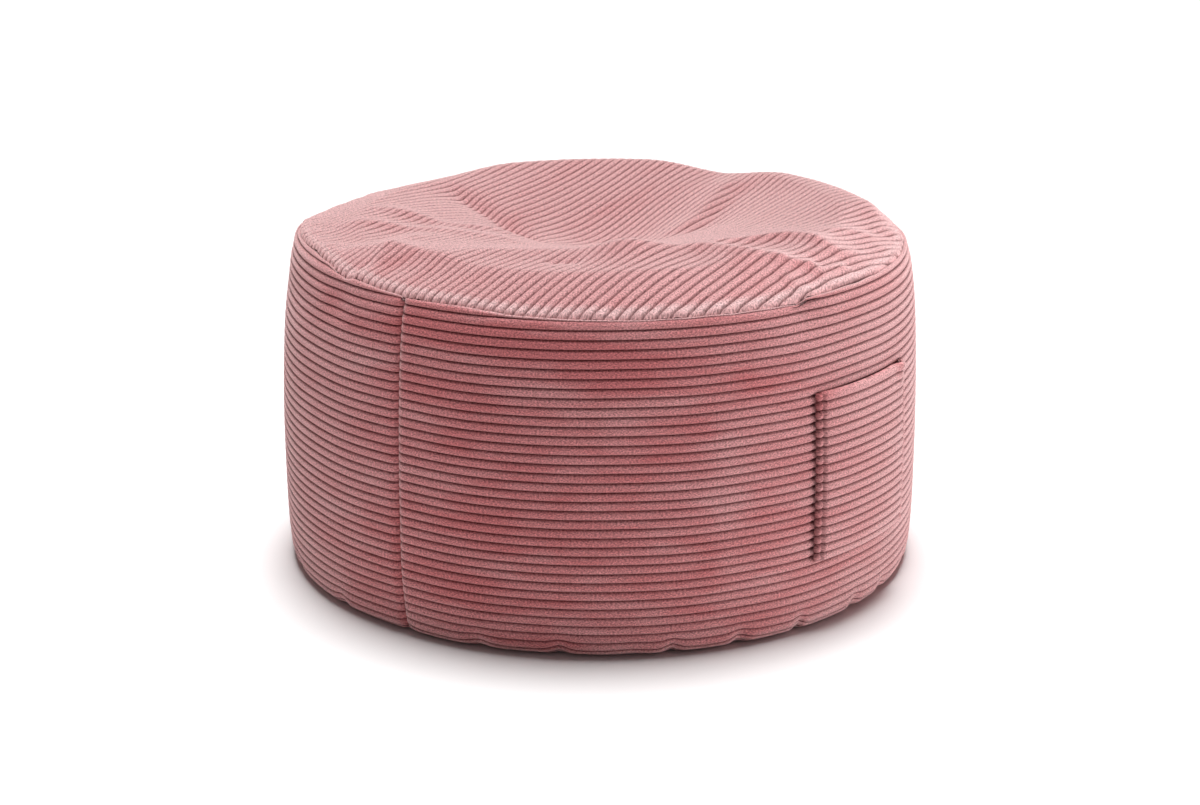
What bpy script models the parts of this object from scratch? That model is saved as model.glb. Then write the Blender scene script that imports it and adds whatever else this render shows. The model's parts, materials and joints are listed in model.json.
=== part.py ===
"""Corduroy bean bag pouf: a low round drum of wide-wale corduroy.

A filled drum (the side band sewn from two lengths of cloth), a slack round top
panel with a sat-in dent and soft folds, a flat base panel, and a patch pocket
that is open at its top. Metres, +Z up. The origin is the middle of the base,
and the middle of the pocket faces -Y.
"""

import math

import bmesh
import bpy
import numpy as np
from mathutils import Vector
from mathutils.bvhtree import BVHTree

# Overall sizes
RIM_HEIGHT = 0.348          # seam between the band and the top panel
RIM_RADIUS = 0.335
SEWN_GAP = 0.0003           # clear space between pieces that touch

# Corduroy
WALE_PITCH = 0.0095         # crest to crest, across the ribs
WALE_DEPTH = 0.0022         # groove below crest
CLOTH = 0.0028              # cloth between groove and back
TOP_WALE_ANGLE = math.radians(0.5)    # run of the top panel's ribs, from +X

# Side band
COLUMNS = 36                # steps around the drum, half of them on each length of band
BAND_SEAM = math.radians(-86.8)       # the other seam is opposite
SEAM_WIDTH = 0.005
SEAM_DEPTH = 0.0030
WALE_SHIFT = 0.4            # ribs of one length against the other, in pitches
PLAIN_HEM = 0.034           # length of band turned under without ribs
BAND_PROFILE = [            # crest of the ribs, from the foot to the rim
    {"height": 0.0034, "radius": 0.3010},
    {"height": 0.0012, "radius": 0.3180},
    {"height": 0.0008, "radius": 0.3330},
    {"height": 0.0042, "radius": 0.3435},
    {"height": 0.0120, "radius": 0.3480},
    {"height": 0.0280, "radius": 0.3500},
    {"height": 0.0600, "radius": 0.3515},
    {"height": 0.1200, "radius": 0.3520},
    {"height": 0.1700, "radius": 0.3515},
    {"height": 0.2300, "radius": 0.3490},
    {"height": 0.2900, "radius": 0.3445},
    {"height": 0.3300, "radius": 0.3395},
    {"height": 0.3480, "radius": 0.3350},
]

# Soft bulges and hollows of the band: where, how wide, how far out
BAND_FOLDS = [
    {"angle": -124, "height": 0.318, "width": 0.060, "tall": 0.020, "out": -0.0030},
    {"angle": -103, "height": 0.322, "width": 0.030, "tall": 0.014, "out": -0.0035},
    {"angle": -72, "height": 0.300, "width": 0.080, "tall": 0.060, "out": 0.0020},
    {"angle": -34, "height": 0.040, "width": 0.060, "tall": 0.030, "out": -0.0025},
    {"angle": -14, "height": 0.322, "width": 0.035, "tall": 0.014, "out": -0.0035},
    {"angle": 26, "height": 0.300, "width": 0.070, "tall": 0.050, "out": 0.0015},
    {"angle": -89, "height": 0.020, "width": 0.050, "tall": 0.025, "out": -0.0030},
    {"angle": -60, "height": 0.016, "width": 0.040, "tall": 0.022, "out": -0.0030},
    {"angle": 66, "height": 0.030, "width": 0.070, "tall": 0.030, "out": -0.0030},
    {"angle": 116, "height": 0.318, "width": 0.060, "tall": 0.020, "out": -0.0030},
    {"angle": 171, "height": 0.030, "width": 0.070, "tall": 0.030, "out": -0.0030},
]

# Top panel: a dish with its lowest point off centre, drawn down at its edge. It is laid out
# in its own plan, which is sewn in with this turn from the pocket's
SLACK_TURN = math.radians(6.2)
DENT = {"x": 0.044, "y": 0.027, "floor": 0.3270, "rise": 0.0510, "reach": 0.140, "power": 1.7}
SHOULDER = {"radius": 0.262, "drop": 0.0300}
TOP_FOLDS = [               # ridges (+) and creases (-), each with its own slope on either side
    {"name": "front crest, left", "line": ((-0.272, 0.045), (-0.215, -0.005), (-0.180, -0.065),
     (-0.155, -0.125), (-0.100, -0.165)), "start": 0.004, "end": 0.014, "left": 0.036,
     "right": 0.034},
    {"name": "front crest, right", "line": ((-0.180, -0.075), (-0.135, -0.145), (-0.098, -0.185),
     (-0.092, -0.235), (-0.070, -0.300)), "start": 0.012, "end": 0.013, "left": 0.024,
     "right": 0.034},
    {"name": "right crest", "line": ((-0.110, -0.160), (-0.045, -0.198), (0.000, -0.228),
     (0.000, -0.268), (0.002, -0.315)), "start": 0.008, "end": 0.012, "left": 0.032,
     "right": 0.015},
    {"name": "small right fold", "line": ((-0.090, -0.255), (-0.070, -0.280), (-0.048, -0.300)),
     "start": 0.006, "end": 0.006, "left": 0.016, "right": 0.010},
    {"name": "right lump", "line": ((0.262, 0.010), (0.276, -0.050), (0.264, -0.125),
     (0.228, -0.190), (0.180, -0.245), (0.120, -0.285)), "start": 0.012, "end": 0.015,
     "left": 0.026, "right": 0.045},
    {"name": "far crest", "line": ((0.060, 0.272), (0.150, 0.228), (0.215, 0.165), (0.252, 0.090),
     (0.276, -0.010)), "start": 0.008, "end": 0.012, "left": 0.026, "right": 0.045},
    {"name": "far fold", "line": ((0.276, -0.022), (0.180, -0.040), (0.105, -0.050),
     (0.045, -0.030)), "start": 0.004, "end": 0.008, "left": 0.016, "right": 0.030},
    {"name": "crease under the far fold", "line": ((0.262, -0.046), (0.170, -0.062),
     (0.095, -0.070), (0.050, -0.052)), "start": -0.004, "end": -0.008, "left": 0.040,
     "right": 0.016},
    {"name": "far left crease", "line": ((0.060, 0.255), (0.032, 0.205), (0.010, 0.145),
     (-0.020, 0.085), (-0.055, 0.035)), "start": -0.012, "end": -0.013, "left": 0.016,
     "right": 0.030},
    {"name": "left fold", "line": ((-0.112, 0.256), (-0.094, 0.186), (-0.092, 0.110),
     (-0.058, 0.030)), "start": 0.006, "end": 0.008, "left": 0.026, "right": 0.016},
    {"name": "left fold, near", "line": ((-0.200, 0.232), (-0.163, 0.197), (-0.140, 0.150),
     (-0.130, 0.090), (-0.112, 0.000)), "start": 0.006, "end": 0.006, "left": 0.026,
     "right": 0.020},
    {"name": "left shoulder fold", "line": ((-0.285, 0.158), (-0.240, 0.124), (-0.192, 0.116),
     (-0.145, 0.130)), "start": 0.005, "end": 0.005, "left": 0.024, "right": 0.024},
    {"name": "left slack", "line": ((-0.270, 0.090), (-0.180, 0.150), (-0.090, 0.150),
     (-0.040, 0.120)), "start": -0.010, "end": -0.008, "left": 0.050, "right": 0.050},
]

# Pocket
POCKET_ANGLE = math.radians(13.3)     # half of its width, seen from the axis
POCKET_FOOT = 0.0775
POCKET_MOUTH = 0.2570
POCKET_COLUMNS = 8
POCKET_WALES = 19
MOUTH_BOW = 0.0092          # how far the mouth stands off the band
POUCH_BOW = 0.0070          # the same lower down
BOW_START = 0.016           # height over which the pouch opens

# Base
BASE_RADIUS = 0.2985
BASE_THICKNESS = 0.0030

# Grid steps of the top panel and of the drum's cap under it
TOP_STEPS_ALONG = 24
CAP_RINGS = [0.320, 0.303, 0.282, 0.258, 0.232, 0.205, 0.177, 0.148, 0.118, 0.087, 0.055, 0.024]
EDGE_TURN = 0.0015          # flat edge under the top panel's rim
LEDGE = 0.0019              # flat of the cap past the edge of the top panel
LIP_SLOPE = 0.0008          # from there out to the upper edge of the band


def clear_scene():
    for thing in list(bpy.data.objects):
        bpy.data.objects.remove(thing, do_unlink=True)


def cloth_material(name, colour, roughness):
    material = bpy.data.materials.new(name)
    material.use_nodes = True
    shader = material.node_tree.nodes["Principled BSDF"]
    shader.inputs["Base Color"].default_value = (*colour, 1.0)
    shader.inputs["Roughness"].default_value = roughness
    shader.inputs["Metallic"].default_value = 0.0
    return material


def heading(angle):
    """Unit vector at an angle from -Y, turning towards +X."""
    return math.sin(angle), -math.cos(angle)


def turn_between(first, second):
    """Signed smallest turn from one angle to another."""
    return (second - first + math.pi) % (2 * math.pi) - math.pi


def bell(distance, width):
    return math.exp(-0.5 * (distance / width) ** 2)


# ---------------------------------------------------------------- side band

def smooth_line(points, steps):
    """Catmull-Rom curve through a few points."""
    points = np.array(points)
    padded = np.vstack([2 * points[0] - points[1], points, 2 * points[-1] - points[-2]])
    t = np.linspace(0, 1, steps, endpoint=False)[:, None]
    curve = []
    for i in range(1, len(padded) - 2):
        before, start, end, after = padded[i - 1:i + 3]
        curve.append(0.5 * (2 * start + (end - before) * t
                            + (2 * before - 5 * start + 4 * end - after) * t ** 2
                            + (3 * start - before - 3 * end + after) * t ** 3))
    return np.vstack(curve + [points[-1:]])


def smooth_profile():
    """Fine curve through BAND_PROFILE from the rim down, with its length."""
    curve = smooth_line([[row["radius"], row["height"]] for row in reversed(BAND_PROFILE)], 24)
    return curve, np.concatenate([[0], np.cumsum(np.linalg.norm(np.diff(curve, axis=0), axis=1))])


PROFILE_CURVE, PROFILE_LENGTHS = smooth_profile()
BAND_LENGTH = float(PROFILE_LENGTHS[-1])


def profile_point(run):
    """Radius and height at a length down the band from the rim."""
    radius = float(np.interp(run, PROFILE_LENGTHS, PROFILE_CURVE[:, 0]))
    height = float(np.interp(run, PROFILE_LENGTHS, PROFILE_CURVE[:, 1]))
    return radius, height


def profile_radius(height):
    return float(np.interp(height, PROFILE_CURVE[::-1, 1], PROFILE_CURVE[::-1, 0]))


def band_bulge(angle, height):
    """How far the band's soft folds push it out."""
    out = 0.0
    for fold in BAND_FOLDS:
        around = turn_between(math.radians(fold["angle"]), angle) * RIM_RADIUS
        out += fold["out"] * bell(around, fold["width"]) * bell(height - fold["height"], fold["tall"])
    return out


def seam_groove(angle):
    """Depth of the two upright band seams."""
    depth = 0.0
    for seam in (BAND_SEAM, BAND_SEAM + math.pi):
        depth += SEAM_DEPTH * bell(turn_between(seam, angle) * RIM_RADIUS, SEAM_WIDTH / 2)
    return depth


def band_angles():
    """Even columns over each length of band, and one in the middle of each seam."""
    half = SEAM_WIDTH / 2 / RIM_RADIUS
    angles = []
    for seam in (BAND_SEAM, BAND_SEAM + math.pi):
        angles.append(turn_between(0, seam))
        for step in range(COLUMNS // 2 + 1):
            share = step / (COLUMNS // 2)
            angles.append(turn_between(0, seam + half + (math.pi - 2 * half) * share))
    return sorted(angles)


def wale_phase(angle):
    """The ribs of one band length sit lower than those of the other."""
    turn = turn_between(BAND_SEAM, angle)
    if abs(turn) < 1e-6 or abs(abs(turn) - math.pi) < 1e-6:
        return WALE_SHIFT / 2
    return 0.0 if turn > 0 else WALE_SHIFT


def band_rows(angle):
    """Points down the band at one angle: rim, then grooves and crests, then the hem."""
    ribbed = BAND_LENGTH - PLAIN_HEM
    rows = int(ribbed / WALE_PITCH) * 2
    points = [(profile_point(0)[0] - WALE_DEPTH, RIM_HEIGHT)]
    for row in range(1, rows):
        run = WALE_PITCH * (row / 2 + wale_phase(angle))
        radius, height = profile_point(run)
        groove = 0.0 if row % 2 else WALE_DEPTH
        depth = groove + seam_groove(angle) - band_bulge(angle, height)
        points.append((radius - depth, height))
    last_run = WALE_PITCH * (rows / 2 + WALE_SHIFT)
    for step in (0.25, 1.0):
        run = last_run + (BAND_LENGTH - last_run) * step
        radius, height = profile_point(run)
        points.append((radius - WALE_DEPTH * (1 - step), height))
    return points


# ---------------------------------------------------------------- top surface

def ease(share):
    """Smooth step from 0 to 1."""
    share = min(max(share, 0), 1)
    return share * share * (3 - 2 * share)


FOLD_LINES = [smooth_line(fold["line"], 6) for fold in TOP_FOLDS]


def fold_height(x, y, fold, line):
    """Height of one fold: pinched at its line, with its own slope on either side."""
    spans = np.diff(line, axis=0)
    lengths = np.linalg.norm(spans, axis=1)
    offsets = np.array([x, y]) - line[:-1]
    shares = np.clip(np.sum(offsets * spans, axis=1) / lengths ** 2, 0, 1)
    distances = np.linalg.norm(offsets - shares[:, None] * spans, axis=1)
    nearest = int(np.argmin(distances))
    along = (lengths[:nearest].sum() + shares[nearest] * lengths[nearest]) / lengths.sum()
    span, offset = spans[nearest], offsets[nearest]
    width = fold["left"] if span[0] * offset[1] > span[1] * offset[0] else fold["right"]
    slope = math.exp(-1.2 * (math.hypot(distances[nearest] / width, 0.283) - 0.283))
    rise = fold["start"] + (fold["end"] - fold["start"]) * along
    return rise * ease(3.5 * along) * ease(3.5 * (1 - along)) * slope


def top_height(x, y):
    """Outer surface of the top panel, without its ribs."""
    cos, sin = math.cos(SLACK_TURN), math.sin(SLACK_TURN)
    x, y = x * cos + y * sin, y * cos - x * sin
    radius = math.hypot(x, y)
    away = math.hypot(x - DENT["x"], y - DENT["y"]) / DENT["reach"]
    height = DENT["floor"] + DENT["rise"] * (1 - math.exp(-away ** DENT["power"]))
    rim_share = np.clip((radius - SHOULDER["radius"]) / (RIM_RADIUS - SHOULDER["radius"]), 0, 1.05)
    height -= SHOULDER["drop"] * rim_share ** 1.3
    fade = 1 - float(np.clip((radius - 0.30) / 0.03, 0, 1)) ** 2
    for fold, line in zip(TOP_FOLDS, FOLD_LINES):
        height += fade * fold_height(x, y, fold, line)
    return height


def panel_radius():
    """The top panel ends inside the upper edge of the band."""
    return RIM_RADIUS - WALE_DEPTH - LEDGE - LIP_SLOPE


def under_height(x, y):
    """Back of the top panel; the drum's cap lies a sewn gap below it."""
    return top_height(x, y) - WALE_DEPTH - CLOTH


def cap_points(drop):
    """Rings over the drum's cap, each a list of points, and the middle point."""
    rings = []
    for radius in [panel_radius() - EDGE_TURN] + CAP_RINGS:
        ring = []
        for angle in band_angles():
            east, north = heading(angle)
            x, y = radius * east, radius * north
            ring.append((x, y, under_height(x, y) - drop))
        rings.append(ring)
    return rings, (0, 0, under_height(0, 0) - drop)


def drape_finder(rings, middle):
    """Gives the height of a cap, made of rings and a middle point, at any place."""
    mesh = bmesh.new()
    outer = add_ring(mesh, rings[0])
    for points in rings[1:]:
        inner = add_ring(mesh, points)
        level_faces(mesh, outer, inner, upward=True)
        outer = inner
    cap_ring(mesh, outer, mesh.verts.new(middle), upward=True)
    tree = BVHTree.FromBMesh(mesh)
    mesh.free()

    def height_at(x, y):
        """Height straight below a point, or of the nearest place just past the edge."""
        place = Vector((x, y, 1.0))
        hit = tree.ray_cast(place, Vector((0, 0, -1)))[0]
        if hit is None:
            hit = tree.find_nearest(Vector((x, y, RIM_HEIGHT)))[0]
        return hit.z

    return height_at


# ---------------------------------------------------------------- mesh helpers

def add_ring(mesh, points):
    return [mesh.verts.new(point) for point in points]


def join_rings(mesh, lower, upper):
    """Quads between two closed rings of equal length."""
    count = len(lower)
    for i in range(count):
        j = (i + 1) % count
        mesh.faces.new((lower[i], lower[j], upper[j], upper[i]))


def level_faces(mesh, outer, inner, upward):
    """Triangles between two closed rings of a cap, always cut the same way."""
    count = len(outer)
    for i in range(count):
        j = (i + 1) % count
        for corners in ((outer[i], outer[j], inner[j]), (outer[i], inner[j], inner[i])):
            mesh.faces.new(corners if upward else corners[::-1])


def cap_ring(mesh, ring, middle, upward):
    """Fan from a closed ring to a middle vertex."""
    count = len(ring)
    for i in range(count):
        j = (i + 1) % count
        corners = (ring[i], ring[j], middle)
        mesh.faces.new(corners if upward else corners[::-1])


def angle_of(vertex):
    return math.atan2(vertex.co.x, -vertex.co.y)


def stitch_rings(mesh, outer, inner):
    """Down-facing triangles between two closed rings of unlike counts, both in order of angle."""
    def passed(ring, index):
        lap = 2 * math.pi if index + 1 >= len(ring) else 0
        return angle_of(ring[(index + 1) % len(ring)]) + lap

    i = j = 0
    while i < len(outer) or j < len(inner):
        here, inside = outer[i % len(outer)], inner[j % len(inner)]
        if j >= len(inner) or (i < len(outer) and passed(outer, i) <= passed(inner, j)):
            mesh.faces.new((here, inside, outer[(i + 1) % len(outer)]))
            i += 1
        else:
            mesh.faces.new((here, inside, inner[(j + 1) % len(inner)]))
            j += 1


def finish_object(mesh, name, material):
    """Turn a closed bmesh into a named object in the scene."""
    data = bpy.data.meshes.new(name)
    mesh.to_mesh(data)
    mesh.free()
    data.materials.append(material)
    data.shade_smooth()
    data.set_sharp_from_angle(angle=math.radians(50))
    thing = bpy.data.objects.new(name, data)
    bpy.context.scene.collection.objects.link(thing)
    return thing


# ---------------------------------------------------------------- pieces

def build_side_band(material):
    """The filled drum: ribbed band, cap under the top panel, flat underside."""
    mesh = bmesh.new()
    angles = band_angles()
    columns = [band_rows(angle) for angle in angles]
    rings = []
    for row in range(len(columns[0])):
        points = []
        for angle, column in zip(angles, columns):
            radius, height = column[row]
            east, north = heading(angle)
            points.append((radius * east, radius * north, height))
        rings.append(add_ring(mesh, points))
    for upper, lower in zip(rings, rings[1:]):
        join_rings(mesh, lower, upper)
    cap, middle = cap_points(SEWN_GAP)
    spread = (panel_radius() + LEDGE) / (panel_radius() - EDGE_TURN)
    ledge = [(x * spread, y * spread, height) for x, y, height in cap[0]]
    inner = rings[0]
    for points in [ledge] + cap:
        ring = add_ring(mesh, points)
        level_faces(mesh, inner, ring, upward=True)
        inner = ring
    cap_ring(mesh, inner, mesh.verts.new(middle), upward=True)
    underside = mesh.verts.new((0, 0, BAND_PROFILE[0]["height"]))
    cap_ring(mesh, rings[-1], underside, upward=False)
    return finish_object(mesh, "side_band", material)


def chord_rows():
    """Offsets across the ribs of the top panel: groove, crest, groove ..."""
    radius = panel_radius()
    half_count = int((radius - 0.006) / (WALE_PITCH / 2))
    rows = [row * WALE_PITCH / 2 for row in range(-half_count, half_count + 1)]
    ends = [radius - 0.0035, radius - 0.0008]
    return [-offset for offset in reversed(ends)] + rows + ends


def raise_over(line, height_at):
    """Lift a line of vertices where the cloth's back would come up between two of them."""
    for near, far in zip(line, line[1:]):
        for share in (0.25, 0.5, 0.75):
            place = near.co.lerp(far.co, share)
            short = height_at(place.x, place.y) + 0.6 * CLOTH - place.z
            if short > 0:
                near.co.z += short
                far.co.z += short


def build_top_panel(material):
    """Ribbed sheet: straight ribs across the round, folds and dent in its height."""
    mesh = bmesh.new()
    back, middle = cap_points(0.0)
    drape = drape_finder(back, middle)
    radius = panel_radius()
    run = (math.cos(TOP_WALE_ANGLE), math.sin(TOP_WALE_ANGLE))
    across = (-run[1], run[0])
    grid = []
    for index, offset in enumerate(chord_rows()):
        half = math.sqrt(radius ** 2 - offset ** 2)
        crest = index % 2 == 0
        line = []
        for step in range(TOP_STEPS_ALONG + 1):
            along = half * (2 * step / TOP_STEPS_ALONG - 1)
            x = offset * across[0] + along * run[0]
            y = offset * across[1] + along * run[1]
            height = drape(x, y) + CLOTH + (WALE_DEPTH if crest else 0.0)
            line.append(mesh.verts.new((x, y, height)))
        raise_over(line, drape)
        grid.append(line)
    for near, far in zip(grid, grid[1:]):
        for step in range(len(near) - 1):
            mesh.faces.new((near[step], near[step + 1], far[step + 1], far[step]))
    border = grid[0][:] + grid[-1][:]
    border += [line[0] for line in grid[1:-1]] + [line[-1] for line in grid[1:-1]]
    border.sort(key=angle_of)
    hem = [mesh.verts.new((v.co.x, v.co.y, drape(v.co.x, v.co.y))) for v in border]
    join_rings(mesh, hem, border)
    outer = add_ring(mesh, back[0])
    stitch_rings(mesh, hem, outer)
    inner = outer
    for points in back[1:]:
        ring = add_ring(mesh, points)
        level_faces(mesh, inner, ring, upward=False)
        inner = ring
    cap_ring(mesh, inner, mesh.verts.new(middle), upward=False)
    return finish_object(mesh, "top_panel", material)


def build_base_panel(material):
    """Flat round that the pouf stands on."""
    mesh = bmesh.new()
    lower, upper = [], []
    for column in range(COLUMNS):
        east, north = heading(2 * math.pi * column / COLUMNS)
        lower.append((BASE_RADIUS * east, BASE_RADIUS * north, 0.0))
        upper.append((BASE_RADIUS * east, BASE_RADIUS * north, BASE_THICKNESS))
    lower, upper = add_ring(mesh, lower), add_ring(mesh, upper)
    join_rings(mesh, lower, upper)
    cap_ring(mesh, upper, mesh.verts.new((0, 0, BASE_THICKNESS)), upward=True)
    cap_ring(mesh, lower, mesh.verts.new((0, 0, 0)), upward=False)
    return finish_object(mesh, "base_panel", material)


def pocket_bow(angle, height):
    """Space between the band's crests and the back of the pocket."""
    side = abs(angle) / POCKET_ANGLE
    rise = min((height - POCKET_FOOT) / BOW_START, 1.0)
    opened = POUCH_BOW + (MOUTH_BOW - POUCH_BOW) * (height - POCKET_FOOT) / (POCKET_MOUTH - POCKET_FOOT)
    return SEWN_GAP + 0.0004 + opened * (1 - side ** 4) * math.sin(math.pi / 2 * rise)


def pocket_point(angle, height, out):
    radius = profile_radius(height) + pocket_bow(angle, height) + out
    east, north = heading(angle)
    return radius * east, radius * north, height


def pocket_grid(mesh, rows, out_of_row):
    """Vertices over the pocket, a line for each row from its foot to its mouth."""
    grid = []
    for row in range(rows + 1):
        height = POCKET_FOOT + (POCKET_MOUTH - POCKET_FOOT) * row / rows
        line = []
        for column in range(POCKET_COLUMNS + 1):
            angle = POCKET_ANGLE * (2 * column / POCKET_COLUMNS - 1)
            line.append(mesh.verts.new(pocket_point(angle, height, out_of_row(row))))
        grid.append(line)
    return grid


def grid_faces(mesh, grid, turned=False):
    """Quads between the lines of a grid; turned ones face the other way."""
    for lower, upper in zip(grid, grid[1:]):
        for i in range(len(lower) - 1):
            corners = (lower[i], lower[i + 1], upper[i + 1], upper[i])
            mesh.faces.new(corners[::-1] if turned else corners)


def strip_faces(mesh, first, second):
    grid_faces(mesh, [first, second])


def build_pocket(material):
    """Patch pocket: ribbed face, plain back, open at the top."""
    mesh = bmesh.new()
    face = pocket_grid(mesh, POCKET_WALES * 2, lambda row: CLOTH + (WALE_DEPTH if row % 2 else 0.0))
    back = pocket_grid(mesh, POCKET_WALES * 2, lambda row: 0.0)
    grid_faces(mesh, face)
    grid_faces(mesh, back, turned=True)
    strip_faces(mesh, back[0], face[0])
    strip_faces(mesh, face[-1], back[-1])
    strip_faces(mesh, [line[0] for line in face], [line[0] for line in back])
    strip_faces(mesh, [line[-1] for line in back], [line[-1] for line in face])
    return finish_object(mesh, "pocket", material)


def main():
    clear_scene()
    corduroy = (0.53, 0.21, 0.215)
    build_side_band(cloth_material("side corduroy", corduroy, 0.9))
    build_top_panel(cloth_material("top corduroy", (0.60, 0.27, 0.27), 0.9))
    build_base_panel(cloth_material("base cloth", (0.40, 0.15, 0.155), 0.9))
    build_pocket(cloth_material("pocket corduroy", corduroy, 0.9))


main()
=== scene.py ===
"""Dresses the corduroy pouf: ribbed side band, slack folded top, base and patch pocket."""

import json
import math

import bpy
import numpy as np
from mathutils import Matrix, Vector

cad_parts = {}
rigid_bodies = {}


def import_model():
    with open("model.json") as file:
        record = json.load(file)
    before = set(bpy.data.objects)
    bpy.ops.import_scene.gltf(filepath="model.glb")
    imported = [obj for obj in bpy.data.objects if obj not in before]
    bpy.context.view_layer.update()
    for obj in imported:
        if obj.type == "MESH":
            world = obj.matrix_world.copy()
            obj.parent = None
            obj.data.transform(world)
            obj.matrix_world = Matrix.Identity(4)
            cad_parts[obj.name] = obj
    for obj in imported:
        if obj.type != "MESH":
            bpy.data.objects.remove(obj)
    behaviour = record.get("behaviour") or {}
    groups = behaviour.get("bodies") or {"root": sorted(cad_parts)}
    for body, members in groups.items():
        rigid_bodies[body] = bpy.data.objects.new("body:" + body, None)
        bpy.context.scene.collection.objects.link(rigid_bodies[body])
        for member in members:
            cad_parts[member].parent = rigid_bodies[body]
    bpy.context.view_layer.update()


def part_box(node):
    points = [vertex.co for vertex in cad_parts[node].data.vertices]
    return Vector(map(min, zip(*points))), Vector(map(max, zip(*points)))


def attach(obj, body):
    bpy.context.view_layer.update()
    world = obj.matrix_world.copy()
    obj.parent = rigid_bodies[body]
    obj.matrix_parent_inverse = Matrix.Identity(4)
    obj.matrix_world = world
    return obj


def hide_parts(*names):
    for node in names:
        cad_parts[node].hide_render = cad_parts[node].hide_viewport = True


bl_info = {
    "name": "Corduroy pouf",
    "version": (1, 0, 0),
    "blender": (4, 5, 0),
    "location": "View3D > Sidebar > Pouf",
    "description": "Makes a round corduroy pouf with a slack top and a patch pocket",
    "category": "Object",
}

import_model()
DRUM_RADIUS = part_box("side_band")[1][0]
BASE_LOW, BASE_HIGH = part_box("base_panel")
POCKET_LOW, POCKET_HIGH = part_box("pocket")

MM = 0.001


def table(names, rows):
    """Rows of values as dictionaries with these names."""
    return [dict(zip(names.split(), row)) for row in rows]


# Side band, from the foot to the rim, where the crests of the ribs lie
BAND_PROFILE = table("height radius", [
    (0.0034, 0.3010), (0.0012, 0.3180), (0.0008, 0.3330), (0.0042, 0.3435), (0.0120, 0.3480),
    (0.0280, 0.3500), (0.0600, 0.3515), (0.1200, 0.3520), (0.1700, 0.3515), (0.2300, 0.3490),
    (0.2900, 0.3445), (0.3300, 0.3395), (0.3480, 0.3350), (0.3580, 0.3325), (0.3650, 0.3275),
    (0.3700, 0.3190), (0.3725, 0.3080),
])
RIM_HEIGHT = 0.3480
BAND_SEAM = math.radians(-86.8)     # the other upright seam is opposite
WALE_SHIFT = 0.4                    # ribs of the back length, lower by this many pitches
SEAM_HALF = 4.2 * MM                # rounded end of a rib beside an upright seam
SEAM_SINK = 2.6 * MM
RIBS_OVER_RIM = 4                   # ribs above the first groove, where the band wraps over
FOOT_STRIP = 0.022                  # last strip of the band under the foot, without ribs
FOOT_GAP = 0.0006                   # the lowest rib stays this far above the floor
UNREST = 0.0005                     # slow waves of the ribs, in and out and up and down
BAND_COLUMNS = 182                  # even columns in one length, between its seams

# Where the rim seam cuts the band: degrees round it, and mm up (-) or down from the first groove
RIM_CUT = table("angle run", [
    (-180.0, -5.0), (-158.0, -7.0), (-134.0, -22.0), (-117.0, -26.0), (-109.0, -21.0),
    (-101.6, -12.5), (-99.6, -17.0), (-96.0, -14.5), (-86.8, -11.0), (-76.0, -10.5), (-67.0, -5.0),
    (-54.0, -4.4), (-15.6, -4.6), (-13.2, -9.0), (36.0, -8.6), (58.0, -5.0), (116.0, -5.5),
    (119.0, -3.0), (180.0, -5.0),
])
RIM_WAVE = 0.35                     # small unrest of the cut, in the same millimetres
LIP_LENGTH = 6.4 * MM               # cloth rolled over beside the rim seam
LIP_TURN = math.radians(140)
LIP_END = 1.15                      # its hidden end turns on under the top, in lip lengths
LIP_LEAN = 0.14                     # slope of the shoulder that it rolls over
LIP_TONE = 1.6                      # painted highlight, pale along its edge
END_TONE = 0.7                      # the same painted highlight on the ends of the top ribs

# Soft bulges and hollows of the band
BAND_FOLDS = table("angle height width tall out", [
    (-124, 0.318, 0.060, 0.020, -0.0030), (-103, 0.335, 0.016, 0.012, -0.0030),
    (-72, 0.300, 0.080, 0.060, 0.0020), (-34, 0.040, 0.060, 0.030, -0.0025),
    (-14, 0.335, 0.018, 0.012, -0.0030), (26, 0.300, 0.070, 0.050, 0.0015),
    (-89, 0.020, 0.050, 0.025, -0.0030), (-60, 0.016, 0.040, 0.022, -0.0030),
    (66, 0.030, 0.070, 0.030, -0.0030), (116, 0.318, 0.060, 0.020, -0.0030),
    (171, 0.030, 0.070, 0.030, -0.0030),
])

# Patches of painted light (+) and painted shade (-) on the band, among them shade under the bulges
# below the rim
BAND_PAINTED_LIGHT = table("angle height width tall tone", [
    (-78, 0.332, 0.060, 0.010, -0.6), (-64, 0.322, 0.070, 0.010, -0.7),
    (-46, 0.290, 0.040, 0.012, -0.6), (-44, 0.318, 0.070, 0.008, -0.3),
    (-110, 0.330, 0.050, 0.014, -0.6), (-97, 0.318, 0.020, 0.010, -0.4),
    (-96, 0.292, 0.030, 0.012, 0.4), (-75, 0.130, 0.080, 0.080, -0.2),
    (-30, 0.170, 0.012, 0.090, 0.4), (2, 0.200, 0.110, 0.140, 0.6), (-8, 0.310, 0.070, 0.030, 0.4),
    (-28, 0.284, 0.020, 0.012, -0.5), (66, 0.180, 0.200, 0.100, 0.2),
    (146, 0.240, 0.150, 0.060, -0.3),
])

# Tucks where the band is gathered under the drum: each lifts and creases the lowest ribs
HEM_TUCKS = table("angle width lift", [
    (-146, 0.014, 0.005), (-122, 0.010, 0.004), (-103, 0.010, 0.006), (-86, 0.008, 0.003),
    (-72, 0.012, 0.007), (-58, 0.009, 0.008), (-46, 0.016, 0.003), (-39, 0.008, 0.009),
    (-27, 0.009, 0.009), (-15, 0.006, 0.010), (-1, 0.008, 0.008), (9, 0.010, 0.007),
    (22, 0.010, 0.003), (48, 0.013, 0.005), (81, 0.010, 0.005), (110, 0.013, 0.004),
    (137, 0.010, 0.004), (166, 0.012, 0.005),
])
HEM_TALL = 0.075                    # the tucks start this far along the cloth from its end

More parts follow.
